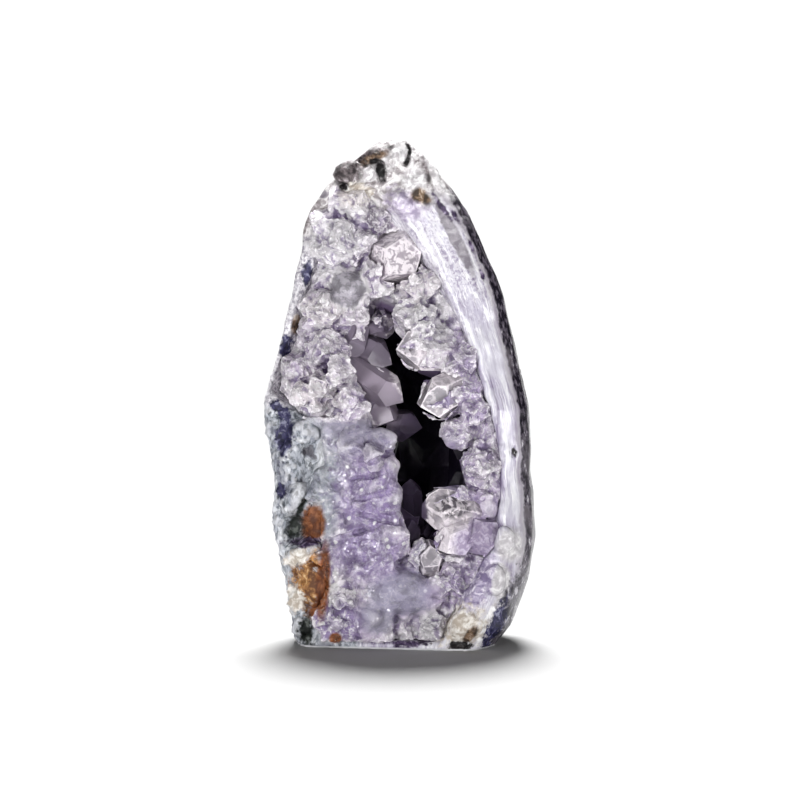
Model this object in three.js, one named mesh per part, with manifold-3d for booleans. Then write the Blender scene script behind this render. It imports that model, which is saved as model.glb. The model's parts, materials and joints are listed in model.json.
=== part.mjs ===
// A free-standing amethyst geode: a lumpy agate shell, cut flat underneath and cut open in front,
// with one crust of quartz crystals that lines its hollow. Millimetres, +Z up, the viewer at -Y.
import * as THREE from 'three';
import { ConvexGeometry } from 'three/addons/geometries/ConvexGeometry.js';
import { LoftGeometry } from 'three/addons/geometries/LoftGeometry.js';
import { mergeVertices } from 'three/addons/utils/BufferGeometryUtils.js';
import Module from 'manifold-3d';

const wasm = await Module();
wasm.setup();

// Overall sizes
const height = 125;
const fitGap = 0.3; // between the crust and the shell that holds it

// The outline from the front: how far the stone reaches left and right at each height
const leftEdge = [[0, -24.4], [5, -26], [12, -27.4], [24, -29], [31, -30.6], [40, -30.4], [48, -31.4],
  [56, -32.7], [62, -32.6], [67, -31.4], [72, -30.4], [76, -28.8], [82, -27.1], [90, -26.2], [98, -24.2],
  [105, -23.2], [110, -21.2], [113, -18.4], [116, -14.6], [119, -11.4], [122, -8], [height, -4.2]];
const rightEdge = [[0, 24.2], [5, 28], [12, 30.6], [19, 32.6], [25, 33.2], [45, 32.8], [60, 31.6], [75, 28.6],
  [87, 25.2], [97, 21.2], [104, 18.4], [110, 15.4], [116, 11.4], [121, 6.8], [height, 2.6]];
const backEdge = [[0, 20], [12, 23], [35, 26], [62, 26], [85, 21.5], [100, 15.5], [112, 9.5], [120, 5],
  [height, 2.4]];
const widestY = [[0, -3], [60, -2], [100, -1], [height, -0.4]];
const outerRoundness = 2.5; // exponent of each level section: 2 is an ellipse, more is squarer
const outerRings = 24;
const outerSides = 26;
const pastCut = 6; // how far the uncut stone reaches in front of the cut face
const crown = { low: 1.2, shrink: 0.4 }; // last ring below the very top, and how much smaller the top is
const wideSwelling = 0.68;
const narrowSwelling = 0.45;

// The cut face that opens the geode: nearest the viewer on the right, leaning back towards the top
const cutFace = { y: -15.5, perX: -0.18, perZ: 0.115 };

// The pocket that the crust fills: left, right and back limits at each height
const pocketFloor = 1.7;
const pocketTop = 115;
const pocketLeft = [[0, -20], [30, -20.5], [54, -21], [59, -34], [70, -32], [83, -28.6], [97, -25.8],
  [108, -22], [pocketTop, -15]];
const pocketRight = [[0, 10], [12, 16.5], [22, 22.5], [35, 26], [50, 26], [60, 23.4], [72, 20.6], [82, 16.4],
  [92, 11.8], [102, 7.4], [110, 3.2], [pocketTop, -1.5]];
const pocketBack = [[0, -8], [12, -2], [25, 8], [38, 17.5], [55, 19.5], [72, 16.5], [90, 9.5], [102, 3.6],
  [pocketTop, -1]];
const pocketMouthY = -16;
const pocketFrontY = -36;
const pocketRoundness = 2.1;
const pocketRings = 14;
const pocketSides = 14;

// The open hollow inside the crust, before its crystals: centre, half width and back at each height
const hollowCentre = [[22, 6], [47, 6.5], [57, 4], [66, -0.5], [76, -3.5], [91, -4.5]];
const hollowHalfWidth = [[22, 2.5], [28, 7.5], [38, 10.5], [47, 12], [57, 13], [66, 13.5], [76, 10.5],
  [84, 7], [91, 2.5]];
const hollowBack = [[22, -8], [28, 1], [38, 11], [50, 14.5], [62, 14], [74, 10.5], [84, 3], [91, -4]];
const hollowMouthY = -14;
const hollowFrontY = -34;
const hollowRoundness = 2.2;
const hollowRings = 11;
const hollowSides = 12;

// How far the crust's bare front lies behind the cut face, before its crystals are added
const crustRecessRight = 4.2;
const crustRecessLeft = 1.2;
const recessChange = [-6, 6]; // x between which the one changes into the other
const sideTurn = { from: -12, curve: 0.009, lean: 0.035 }; // left of this the crust curves round the side

// The block: the lower left part of the crust, which stands forward of the rest
const ledge = { left: -24, right: -1.2, top: 57, back: 4, proud: 3.6 };
const ledgeEdge = { width: 5.8, drop: 5, curve: 0.05 }; // how its right and upper edges are rounded
const ledgeRipple = 0.5;

// Blocks for cutting reach this far past the stone
const clear = { side: 60, below: -4, above: 140 };

const growthSeed = 17;
const tipSlope = 51.8; // degrees from a crystal's long axis to the outward direction of a tip face
const sideShare = [0.88, 1.04]; // how far each side stands out, as a share of half the width
const furtherShare = [0.6, 1.4]; // how much the tip faces that lie further out differ
const plainLump = 6; // lumps of stone smaller than this have fewer facets

// Random numbers in 0..1 that are the same on each run
function seededRandom(seed) {
  let state = seed;
  return () => {
    state = (state * 1664525 + 1013904223) % 4294967296;
    return state / 4294967296;
  };
}

// A smooth curve through [height, value] stations, level beyond its ends
function along(stations, z) {
  const last = stations.length - 1;
  if (z <= stations[0][0]) {
    return stations[0][1];
  }
  if (z >= stations[last][0]) {
    return stations[last][1];
  }
  const i = stations.findIndex((station) => station[0] > z) - 1;
  const slope = (k) => {
    const before = stations[Math.max(k - 1, 0)];
    const after = stations[Math.min(k + 1, last)];
    return (after[1] - before[1]) / (after[0] - before[0]);
  };
  const span = stations[i + 1][0] - stations[i][0];
  const t = (z - stations[i][0]) / span;
  const start = (1 + 2 * t) * (1 - t) ** 2 * stations[i][1] + t * (1 - t) ** 2 * span * slope(i);
  const end = t * t * (3 - 2 * t) * stations[i + 1][1] + t * t * (t - 1) * span * slope(i + 1);
  return start + end;
}

const cutFaceY = (x, z) => cutFace.y + cutFace.perX * x + cutFace.perZ * z;

// One level ring between left and right limits, with its own depth in front and behind
function ring({ left, right, middleY, front, back, roundness, sides, z, grow }) {
  const centreX = (left + right) / 2;
  const halfWidth = (right - left) / 2 + grow;
  const points = [];
  for (let i = 0; i < sides; i++) {
    const angle = (i / sides) * 2 * Math.PI;
    const across = Math.sign(Math.cos(angle)) * Math.abs(Math.cos(angle)) ** (2 / roundness);
    const deep = Math.sign(Math.sin(angle)) * Math.abs(Math.sin(angle)) ** (2 / roundness);
    const reach = (angle < Math.PI ? back - middleY : middleY - front) + grow;
    points.push(new THREE.Vector3(centreX + halfWidth * across, middleY + reach * deep, z));
  }
  return points;
}

function loft(rings) {
  return new THREE.BufferGeometry().copy(new LoftGeometry(rings, { capStart: true, capEnd: true }));
}

function levels(low, high, count) {
  return Array.from({ length: count }, (_, i) => low + ((high - low) * i) / (count - 1));
}

// Low swellings and hollows of the stone's skin, as a distance along its outward direction
function swelling(x, y, z) {
  const wide = Math.sin(0.19 * x + 0.13 * z + 0.6) * Math.sin(0.15 * y - 0.11 * z + 1.9);
  const narrow = Math.sin(0.41 * x - 0.27 * z + 2.2) * Math.sin(0.37 * y + 0.33 * z + 0.4);
  return wideSwelling * wide + narrowSwelling * narrow;
}

function outerRing(z, grow) {
  const points = ring({
    left: along(leftEdge, z),
    right: along(rightEdge, z),
    middleY: along(widestY, z),
    front: cutFaceY(0, z) - pastCut,
    back: along(backEdge, z),
    roundness: outerRoundness,
    sides: outerSides,
    z,
    grow,
  });
  const centre = new THREE.Vector3((along(leftEdge, z) + along(rightEdge, z)) / 2, along(widestY, z), z);
  for (const point of points) {
    const outward = point.clone().sub(centre).normalize();
    point.addScaledVector(outward, swelling(point.x, point.y, z));
  }
  return points;
}

function outerShape(grow) {
  const rings = levels(-2 * grow, height - crown.low + grow, outerRings).map((z) => outerRing(z, grow));
  const last = rings[rings.length - 1];
  const middle = last.reduce((sum, point) => sum.add(point), new THREE.Vector3()).divideScalar(last.length);
  rings.push(last.map((point) => point.clone().lerp(middle, crown.shrink).setZ(height + grow)));
  return loft(rings);
}

function pocketShape(grow) {
  return loft(levels(pocketFloor - grow, pocketTop + grow, pocketRings).map((z) => ring({
    left: along(pocketLeft, z),
    right: along(pocketRight, z),
    middleY: pocketMouthY,
    front: pocketFrontY,
    back: along(pocketBack, z),
    roundness: pocketRoundness,
    sides: pocketSides,
    z,
    grow,
  })));
}

function hollowShape() {
  const low = hollowCentre[0][0];
  const high = hollowCentre[hollowCentre.length - 1][0];
  return loft(levels(low, high, hollowRings).map((z) => ring({
    left: along(hollowCentre, z) - along(hollowHalfWidth, z),
    right: along(hollowCentre, z) + along(hollowHalfWidth, z),
    middleY: hollowMouthY,
    front: hollowFrontY,
    back: along(hollowBack, z),
    roundness: hollowRoundness,
    sides: hollowSides,
    z,
    grow: 0,
  })));
}

// A slab from a front surface y = frontY(x, z) back to a level plane behind the stone
function slabBehind(frontY, { left, right, low, high, back, columns, rows }) {
  const geometry = new THREE.BoxGeometry(right - left, 1, high - low, columns, 1, rows);
  geometry.translate((left + right) / 2, 0, (low + high) / 2);
  const position = geometry.attributes.position;
  for (let i = 0; i < position.count; i++) {
    const y = position.getY(i) < 0 ? frontY(position.getX(i), position.getZ(i)) : back;
    position.setY(i, y);
  }
  return geometry;
}

// A quartz crystal on +Z with its root at 0: six upright sides under six sloping faces, every other one
// of them further out, so that three large and three small faces meet near the tip
function crystalGeometry(width, length, uneven, random) {
  const planes = [];
  const slope = THREE.MathUtils.degToRad(tipSlope);
  for (let k = 0; k < 6; k++) {
    const angle = (k * Math.PI) / 3;
    const side = new THREE.Vector3(Math.cos(angle), Math.sin(angle), 0);
    const tipFace = side.clone().multiplyScalar(Math.sin(slope)).setZ(Math.cos(slope));
    const sideDistance = (width / 2) * between(sideShare, random());
    const further = (k % 2) * uneven * width * between(furtherShare, random());
    planes.push({ normal: side, distance: sideDistance });
    planes.push({ normal: tipFace, distance: length * Math.cos(slope) + further });
  }
  planes.push({ normal: new THREE.Vector3(0, 0, -1), distance: 0 });
  return new ConvexGeometry(cornersOf(planes));
}

// The corners of the convex solid that lies behind every plane
function cornersOf(planes) {
  const corners = [];
  for (let i = 0; i < planes.length; i++) {
    for (let j = i + 1; j < planes.length; j++) {
      for (let k = j + 1; k < planes.length; k++) {
        const [a, b, c] = [planes[i], planes[j], planes[k]];
        const crossed = b.normal.clone().cross(c.normal);
        const volume = a.normal.dot(crossed);
        if (Math.abs(volume) < 1e-6) {
          continue;
        }
        const corner = crossed.multiplyScalar(a.distance)
          .addScaledVector(c.normal.clone().cross(a.normal), b.distance)
          .addScaledVector(a.normal.clone().cross(b.normal), c.distance)
          .divideScalar(volume);
        const inside = planes.every((plane) => plane.normal.dot(corner) < plane.distance + 1e-6);
        const isNew = corners.every((other) => other.distanceTo(corner) > 1e-3);
        if (inside && isNew) {
          corners.push(corner);
        }
      }
    }
  }
  return corners;
}

// A crystal from its root to its tip, turned about its own axis
function crystal({ root, tip, width, uneven = 0.12 }, random) {
  const axis = new THREE.Vector3(...tip).sub(new THREE.Vector3(...root));
  const geometry = crystalGeometry(width, axis.length(), uneven, random);
  geometry.rotateZ(random() * Math.PI);
  geometry.applyQuaternion(
    new THREE.Quaternion().setFromUnitVectors(new THREE.Vector3(0, 0, 1), axis.normalize()),
  );
  return geometry.translate(...root);
}

// A rounded lump of stone with facets
function lump({ at, size, turn = 0 }) {
  const isSmall = Math.max(...size) < plainLump;
  const geometry = new THREE.IcosahedronGeometry(1, isSmall ? 0 : 1);
  geometry.scale(size[0] / 2, size[1] / 2, size[2] / 2);
  geometry.rotateY(THREE.MathUtils.degToRad(turn));
  return geometry.translate(...at);
}

function toSolid(geometry) {
  geometry.deleteAttribute('normal');
  geometry.deleteAttribute('uv');
  const merged = mergeVertices(geometry, 1e-4);
  return new wasm.Manifold(new wasm.Mesh({
    numProp: 3,
    vertProperties: new Float32Array(merged.attributes.position.array),
    triVerts: new Uint32Array(merged.index.array),
  }));
}

const join = (solids) => solids.reduce((sum, solid) => sum.add(solid));

// The largest of a solid's separate bodies
function largest(solid) {
  return solid.decompose().reduce((best, next) => (next.volume() > best.volume() ? next : best));
}

function toGeometry(solid) {
  const mesh = solid.getMesh();
  const geometry = new THREE.BufferGeometry();
  geometry.setAttribute('position', new THREE.BufferAttribute(new Float32Array(mesh.vertProperties), 3));
  geometry.setIndex(new THREE.BufferAttribute(new Uint32Array(mesh.triVerts), 1));
  geometry.computeVertexNormals();
  return geometry;
}

// Rounded stones and knobs that stand out of the shell: [place], [size], turn about the viewing line
const shellLumps = [
  { at: [-2.4, -0.6, 120.4], size: [10.5, 7, 8.4] }, // chalky dome at the very top
  { at: [-11.6, -1.8, 116.2], size: [8.6, 6.4, 7.8], turn: 25 }, // glossy shoulder
  { at: [-7.2, -2.6, 117], size: [3.4, 3, 4.4] }, // white pebble beside the black pit
  { at: [2.7, -0.8, 119.5], size: [7.4, 6, 6.6] },
  { at: [4.4, -1.6, 114.4], size: [8, 6, 8] }, // massive white quartz
  { at: [0.6, -3.2, 109.8], size: [6, 4, 5.4] },
  { at: [-21.4, -12.6, 30.4], size: [5.2, 5, 8.4], turn: 8 }, // rusty oval
  { at: [-24, -10.4, 23.4], size: [7.6, 7, 5] }, // cream block
  { at: [-21.8, -12.2, 16.4], size: [7, 6, 11] }, // golden brown knob
  { at: [-25, -9.6, 10.8], size: [4.8, 5, 6.2] },
  { at: [-23.6, -10.6, 4.4], size: [5, 4.6, 6.6] }, // dark green knob
  { at: [26, -16.2, 27.4], size: [5.4, 3.4, 7] }, // pebbly quartz low on the right rim
  { at: [24, -17.2, 17.6], size: [5, 3.4, 8] },
  { at: [16.4, -17.4, 6.6], size: [9, 5, 8] },
  { at: [-26.6, -6, 45], size: [6, 7, 14], turn: 4 },
  { at: [-26, -8, 36], size: [6, 6, 9] },
  { at: [-23.4, -5.4, 53], size: [7, 7, 7] },
];
const shellPits = [
  { at: [-4.8, -4.6, 117.4], size: [2.6, 6, 4.4] }, // black pit under the dome
  { at: [5.2, -4.8, 111.6], size: [3.4, 3.4, 3.2] }, // brown pocket
  { at: [-27, -9.4, 31.6], size: [3.2, 4, 5] },
  { at: [-22.6, -13.6, 42.4], size: [3, 3, 3] },
  { at: [-24.4, -12.4, 50.4], size: [2.6, 3, 2.6] },
  { at: [-18, -14.4, 24.6], size: [3.4, 3.4, 2.6] },
  { at: [19.6, -19.4, 2.6], size: [3.4, 3, 3.6] },
];

// The crystals that the eye finds first, each from its root to its tip
const largeCrystals = [
  { root: [14, -3, 73], tip: [-1, -9.4, 74], width: 10 }, // clear point over the hollow's right edge
  { root: [17.6, -3, 64], tip: [5.2, -13, 60], width: 10.4 },
  { root: [21, -6, 34], tip: [5.9, -17, 36.2], width: 9.8 }, // largest clear point
  { root: [16, -8, 32], tip: [11.4, -19.4, 22.6], width: 8.4 },
  { root: [22, -9, 28], tip: [19.4, -20, 28], width: 8.8 },
  { root: [5, 1, 83], tip: [2, -11, 81], width: 10.4 },
  { root: [6, 2, 91], tip: [2.6, -9.4, 89], width: 9.6 },
  { root: [21, -8, 46], tip: [19, -18, 45.6], width: 7.6 },
  { root: [15, -6, 53], tip: [12, -15.6, 52.3], width: 8 },
  { root: [19, -6, 59], tip: [18.4, -15, 58.4], width: 6.8 },
  { root: [-4, 3, 98], tip: [-5.7, -8, 86.6], width: 9 },
  { root: [-5, 3, 106], tip: [-4.9, -5, 105], width: 6.4 },
  { root: [-12, 1, 89], tip: [-12.3, -9, 88.2], width: 7.6 },
  { root: [-18, -1, 84], tip: [-19.2, -10.4, 83.6], width: 9 },
  { root: [-15, 1, 101], tip: [-16, -8.4, 99.8], width: 11 },
  { root: [-17, 2, 104], tip: [-21.4, -4.6, 105.4], width: 8.4 },
  { root: [-13, 2, 110], tip: [-17, -4.4, 111.6], width: 7.4 },
  { root: [-11, 1, 110], tip: [-10.6, -5.4, 111.4], width: 7.6 },
  { root: [-17, -1, 73], tip: [-18.5, -12, 73.2], width: 11.4 },
  { root: [-20, 0, 63], tip: [-21, -12, 62], width: 11.4 },
  { root: [-12, -1, 63], tip: [-13.4, -11, 62], width: 8.4 },
  { root: [-12, 4, 78], tip: [-9.4, -5, 76.4], width: 6 }, // inner wall, high on the left
  { root: [-5, 6, 81], tip: [-4, -4, 78], width: 6 },
  { root: [-14, 3, 71], tip: [-1.2, -4, 62.4], width: 7.4 }, // long prism across the hollow
  { root: [-6, 6, 59], tip: [-2.6, -4, 57], width: 7.4 },
  { root: [3, 9, 34], tip: [3.4, -4, 38], width: 5.6 }, // tall dark one low in the hollow
  { root: [6, -4, 17], tip: [6.4, -15.6, 26.6], width: 7.4 },
  { root: [8, -6, 4.6], tip: [9.4, -18, 5.4], width: 8 },
];
const cloudyLumps = [
  { at: [1, -12.4, 13.8], size: [16.8, 9, 11.6], turn: 8 },
  { at: [-6.6, -12, 8], size: [10, 8, 9] },
  { at: [-11.8, -12.4, 14.4], size: [6.6, 7, 7] },
];

// Smaller crystals, spread over part of the crust's front on an uneven grid: the right wall, the upper left,
// the block and the foot
const crystalFields = [
  { x: [9, 24.5], z: [10, 101], step: 9.8, width: [8.6, 11], proud: [4.4, 6.4], lean: 0.25 },
  { x: [-29, -3], z: [61, 102], step: 10.2, width: [9.6, 12], proud: [5, 7.4], lean: 0.25 },
  { x: [-17.4, -3], z: [5.4, 55], step: 9.8, width: [9.4, 12], proud: [2.6, 4.4], lean: 0.2 },
  { x: [0, 13], z: [5, 20], step: 8.8, width: [7.6, 9.6], proud: [3.4, 5], lean: 0.25 },
];
const rowSpacing = 0.87; // of the step between the crystals of one row
const fieldRoot = 2.2; // how deep a field's crystals start below the crust's front
const fieldUneven = 0.3; // how much longer every other tip face is
const overhangReach = 5; // crystals this near to the hollow lean over it
const overhangLean = 0.5;
const fieldJitter = 0.5; // of the step, by which each crystal is moved off the grid
const wallMargin = 2.6; // a field's crystals stay this far from the pocket's right wall
const rimMargin = 3; // and this far from the stone's left edge

// Crystals on the hollow's walls: heights, and directions in degrees seen from above, from the right wall
// round the back to the left wall
const wallCrystals = {
  z: [28, 84], zStep: 10.5, zJitter: 3.4,
  degrees: [40, 190], degreeStep: 48, degreeJitter: 14,
  centreY: -12, root: 2.4, proud: [3, 5.4], width: [7.4, 9.8], uneven: 0.3,
  outwards: 0.9, leastOutwards: 0.35, tilt: 0.7,
};

function isOverHollow(x, z, margin) {
  const low = hollowCentre[0][0];
  const high = hollowCentre[hollowCentre.length - 1][0];
  if (z < low || z > high) {
    return false;
  }
  return Math.abs(x - along(hollowCentre, z)) < along(hollowHalfWidth, z) + margin;
}

const isOnBlock = (x, z) => x < ledge.right && z < ledge.top;

function crustFrontY(x, z) {
  const towardsRight = THREE.MathUtils.smoothstep(x, ...recessChange);
  const turnedAway = sideTurn.curve * Math.max(sideTurn.from - x, 0) ** 2;
  return cutFaceY(x, z) + THREE.MathUtils.lerp(crustRecessLeft, crustRecessRight, towardsRight) + turnedAway;
}

function blockFrontY(x, z) {
  const pastRight = Math.max(x - (ledge.right - ledgeEdge.width), 0);
  const pastTop = Math.max(z - (ledge.top - ledgeEdge.drop), 0);
  const rounding = ledgeEdge.curve * (pastRight ** 2 + pastTop ** 2);
  const ripple = ledgeRipple * Math.sin(0.5 * x + 0.3 * z) * Math.sin(0.4 * z);
  return cutFaceY(x, z) - ledge.proud + rounding + ripple;
}

function between([low, high], share) {
  return low + (high - low) * share;
}

// One crystal that stands on a surface and points along a direction
function growth(foot, direction, { root, proud, width, uneven }) {
  const start = foot.clone().addScaledVector(direction, -root);
  const tip = foot.clone().addScaledVector(direction, proud);
  return { root: start.toArray(), tip: tip.toArray(), width, uneven };
}

function fieldCrystals({ x, z, step, width, proud, lean }, random) {
  const crystals = [];
  const rows = Math.floor((z[1] - z[0]) / (step * rowSpacing)) + 1;
  for (let row = 0; row < rows; row++) {
    for (let far = x[0] + (row % 2) * step * 0.5; far <= x[1]; far += step) {
      const placeX = far + (random() - 0.5) * step * fieldJitter;
      const placeZ = z[0] + row * step * rowSpacing + (random() - 0.5) * step * fieldJitter;
      const shape = {
        root: fieldRoot,
        width: between(width, random()),
        proud: between(proud, random()),
        uneven: fieldUneven,
      };
      const sideways = (random() - 0.5) * 2 * lean;
      const upwards = (random() - 0.5) * 2 * lean;
      const beyondWall = placeX > along(pocketRight, placeZ) - wallMargin;
      const beyondRim = placeX < along(leftEdge, placeZ) + rimMargin;
      if (isOverHollow(placeX, placeZ, -1) || beyondWall || beyondRim) {
        continue;
      }
      const surface = isOnBlock(placeX, placeZ) ? blockFrontY : crustFrontY;
      const isAtEdge = isOverHollow(placeX, placeZ, overhangReach);
      const overhang = isAtEdge ? overhangLean * Math.sign(along(hollowCentre, placeZ) - placeX) : 0;
      const roundTheSide = sideTurn.lean * Math.min(placeX - sideTurn.from, 0);
      const direction = new THREE.Vector3(sideways + overhang + roundTheSide, -1, upwards).normalize();
      const foot = new THREE.Vector3(placeX, surface(placeX, placeZ), placeZ);
      crystals.push(growth(foot, direction, shape));
    }
  }
  return crystals;
}

// Crystals on the hollow's walls, pointing to its middle and out of its mouth
function hollowCrystals(random) {
  const { z, degrees, centreY, root, proud, width, uneven } = wallCrystals;
  const crystals = [];
  for (let level = z[0]; level < z[1]; level += wallCrystals.zStep) {
    for (let turn = degrees[0]; turn <= degrees[1]; turn += wallCrystals.degreeStep) {
      const angle = THREE.MathUtils.degToRad(turn + (random() - 0.5) * wallCrystals.degreeJitter);
      const foot = new THREE.Vector3(
        along(hollowCentre, level) + along(hollowHalfWidth, level) * Math.cos(angle),
        centreY + (along(hollowBack, level) - centreY) * Math.sin(angle),
        level + (random() - 0.5) * wallCrystals.zJitter,
      );
      const direction = new THREE.Vector3(
        -Math.cos(angle),
        -wallCrystals.outwards * Math.max(Math.sin(angle), wallCrystals.leastOutwards),
        (random() - 0.5) * wallCrystals.tilt,
      ).normalize();
      const shape = { root, proud: between(proud, random()), width: between(width, random()), uneven };
      crystals.push(growth(foot, direction, shape));
    }
  }
  return crystals;
}

// Everything below a level, for cutting things off flat
function allBelow(z) {
  const box = new THREE.BoxGeometry(2 * clear.side, 2 * clear.side, clear.side);
  return toSolid(box.translate(0, 0, z - clear.side / 2));
}

// Everything behind the cut face, or behind a level face parallel to it
function behindCutFace(low, grow) {
  return toSolid(slabBehind((x, z) => cutFaceY(x, z) - grow, {
    left: -clear.side, right: clear.side, low, high: clear.above, back: clear.side, columns: 2, rows: 2,
  }));
}

function buildShell() {
  const outer = toSolid(outerShape(0)).intersect(behindCutFace(0, 0));
  const knobs = join(shellLumps.map((each) => toSolid(lump(each))));
  const pits = join(shellPits.map((each) => toSolid(lump(each))));
  const rough = outer.add(knobs).subtract(toSolid(pocketShape(0))).subtract(pits);
  return largest(rough.subtract(allBelow(0)));
}

function buildCrust() {
  const random = seededRandom(growthSeed);
  const floor = pocketFloor + fitGap;
  const inPocket = toSolid(pocketShape(-fitGap));
  const front = toSolid(slabBehind(crustFrontY, {
    left: -clear.side, right: clear.side, low: clear.below, high: clear.above, back: clear.side,
    columns: 20, rows: 6,
  }));
  const blockFront = toSolid(slabBehind(blockFrontY, {
    left: ledge.left, right: ledge.right, low: floor, high: ledge.top, back: ledge.back,
    columns: 6, rows: 14,
  }));
  const bed = inPocket.intersect(front.add(blockFront)).subtract(toSolid(hollowShape()));
  const fields = crystalFields.flatMap((field) => fieldCrystals(field, random));
  const crystals = [...largeCrystals, ...fields, ...hollowCrystals(random)];
  const points = crystals.map((each) => crystal(each, random));
  const grown = join([bed, ...[...points, ...cloudyLumps.map(lump)].map(toSolid)]);
  const stoneAround = toSolid(outerShape(fitGap)).intersect(behindCutFace(clear.below, fitGap));
  const knobsAround = join(shellLumps.map(({ at, size, turn }) => toSolid(
    lump({ at, size: size.map((side) => side + 2 * fitGap), turn }),
  )));
  const shellAround = stoneAround.add(knobsAround).subtract(inPocket);
  return largest(grown.subtract(shellAround).subtract(allBelow(floor)));
}

const agate = new THREE.MeshStandardMaterial({ color: 0x8f8b98, roughness: 0.45, metalness: 0 });
const amethyst = new THREE.MeshStandardMaterial({ color: 0xb3a6c4, roughness: 0.15, metalness: 0 });

const shell = new THREE.Mesh(toGeometry(buildShell()), agate);
shell.name = 'agate_shell';
const crust = new THREE.Mesh(toGeometry(buildCrust()), amethyst);
crust.name = 'crystal_crust';

const geode = new THREE.Group();
geode.add(shell, crust);
const reach = new THREE.Box3().setFromObject(geode);
const middle = reach.getCenter(new THREE.Vector3());
geode.position.set(-middle.x, -middle.y, -reach.min.z); // origin under the middle of the flat base

export default geode;
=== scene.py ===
# Amethyst geode with an agate rind, dressed around its fixed frame. Metres, +Z up, the viewer at -Y.
import json
import math
import random
from itertools import combinations
import bpy
import bmesh
import numpy as np
from mathutils import Matrix, Vector
from mathutils.bvhtree import BVHTree
from mathutils.kdtree import KDTree

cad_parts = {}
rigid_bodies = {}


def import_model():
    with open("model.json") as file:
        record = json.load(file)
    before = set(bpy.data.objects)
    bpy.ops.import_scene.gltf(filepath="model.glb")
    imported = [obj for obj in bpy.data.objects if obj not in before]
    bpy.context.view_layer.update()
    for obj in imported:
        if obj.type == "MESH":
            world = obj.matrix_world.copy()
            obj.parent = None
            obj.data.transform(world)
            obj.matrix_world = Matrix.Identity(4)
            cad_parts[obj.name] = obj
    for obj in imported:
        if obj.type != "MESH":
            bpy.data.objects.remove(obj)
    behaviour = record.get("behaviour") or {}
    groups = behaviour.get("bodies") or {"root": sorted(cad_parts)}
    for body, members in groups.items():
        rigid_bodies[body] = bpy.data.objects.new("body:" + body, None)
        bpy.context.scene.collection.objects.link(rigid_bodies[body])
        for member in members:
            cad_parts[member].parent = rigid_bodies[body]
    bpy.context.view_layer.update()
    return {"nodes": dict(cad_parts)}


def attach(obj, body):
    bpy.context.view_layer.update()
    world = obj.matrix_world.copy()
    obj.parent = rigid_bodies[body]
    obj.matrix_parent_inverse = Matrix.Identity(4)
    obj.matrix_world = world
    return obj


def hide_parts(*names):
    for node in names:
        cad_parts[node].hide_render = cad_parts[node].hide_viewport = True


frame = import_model()
mm = 0.001
print("frame loaded:", ", ".join(sorted(frame["nodes"])))


# A Math node as an operator between sockets or numbers, also with its two sides swapped
def operator(operation, swapped=False):
    def apply(one, other):
        return one.graph.maths(operation, *((other, one) if swapped else (one, other)))
    return apply


# A node's output, which can be added, multiplied and so on
class Signal:
    def __init__(self, graph, socket):
        self.graph = graph
        self.socket = socket

    __add__ = __radd__ = operator("ADD")
    __mul__ = __rmul__ = operator("MULTIPLY")
    __sub__, __rsub__ = operator("SUBTRACT"), operator("SUBTRACT", True)
    __truediv__, __rtruediv__ = operator("DIVIDE"), operator("DIVIDE", True)

    # 0 below low, 1 above high, with a soft step between; low may be above high
    def step(self, low, high):
        return self.graph.node("ShaderNodeMapRange", {
            "Value": self, "From Min": low, "From Max": high,
        }, interpolation_type="SMOOTHSTEP")


# A node tree, with one way to make every node
class Graph:
    def __init__(self, tree):
        self.tree = tree

    # A socket is named by its number, or by its name among those that the node's settings leave in use
    def node(self, kind, inputs=None, out=0, **settings):
        made = self.tree.nodes.new(kind)
        for name, value in settings.items():
            setattr(made, name, value)
        for name, value in (inputs or {}).items():
            inUse = [socket for socket in made.inputs if socket.name == name and socket.enabled]
            target = inUse[0] if inUse else made.inputs[name]
            for each in value if isinstance(value, list) else [value]:
                if isinstance(each, Signal):
                    self.tree.links.new(each.socket, target)
                else:
                    target.default_value = each
        return Signal(self, made.outputs[out]) if len(made.outputs) else made

    def maths(self, operation, a, b=0.0):
        return self.node("ShaderNodeMath", {0: a, 1: b}, operation=operation)

    def larger(self, a, b):
        return self.maths("MAXIMUM", a, b)

    def clamped(self, value):
        return self.node("ShaderNodeClamp", {"Value": value})

    def mix(self, factor, a, b):
        a, b = [value if isinstance(value, Signal) else (*value, 1) for value in (a, b)]
        return self.node("ShaderNodeMix", {0: factor, 6: a, 7: b}, out=2, data_type="RGBA")

    # Lays colours over a first one, each where its mask is 1
    def layers(self, colour, masked):
        for mask, tint in masked:
            colour = self.mix(mask, colour, tint)
        return colour

    def combined(self, x, y, z):
        return self.node("ShaderNodeCombineXYZ", {"X": x, "Y": y, "Z": z})

    def scaled(self, vector, by):
        return self.node("ShaderNodeVectorMath", {"Vector": vector, "Scale": by}, operation="SCALE")

    def noise(self, where, size, detail=3.0, rough=0.55, distortion=0.0):
        return self.node("ShaderNodeTexNoise", {
            "Vector": where, "Scale": 1 / size, "Detail": detail, "Roughness": rough, "Distortion": distortion,
        })

    def cells(self, where, size):
        return self.node("ShaderNodeTexVoronoi", {"Vector": where, "Scale": 1 / size})

    # What a mesh stores by name, read by a material
    def attributes(self, *names):
        return [self.node("ShaderNodeAttribute", out="Fac", attribute_name=name) for name in names]

    # The same, read by a geometry tree
    def stored(self, name):
        return self.node("GeometryNodeInputNamedAttribute", {"Name": name}, data_type="FLOAT")

    # A place in metres as three signals in millimetres: across, deep, up
    def millimetres(self, place):
        parts = self.node("ShaderNodeSeparateXYZ", {"Vector": place}).socket.node
        return [Signal(self, parts.outputs[axis]) * 1000 for axis in "XYZ"]

    def bump(self, strength, distance, height):
        return self.node("ShaderNodeBump", {"Strength": strength, "Distance": distance, "Height": height})


def newMaterial(name):
    material = bpy.data.materials.new(name)
    material.use_nodes = True
    material.node_tree.nodes.clear()
    graph = Graph(material.node_tree)
    return material, graph, graph.node("ShaderNodeTexCoord", out="Object")


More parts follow.
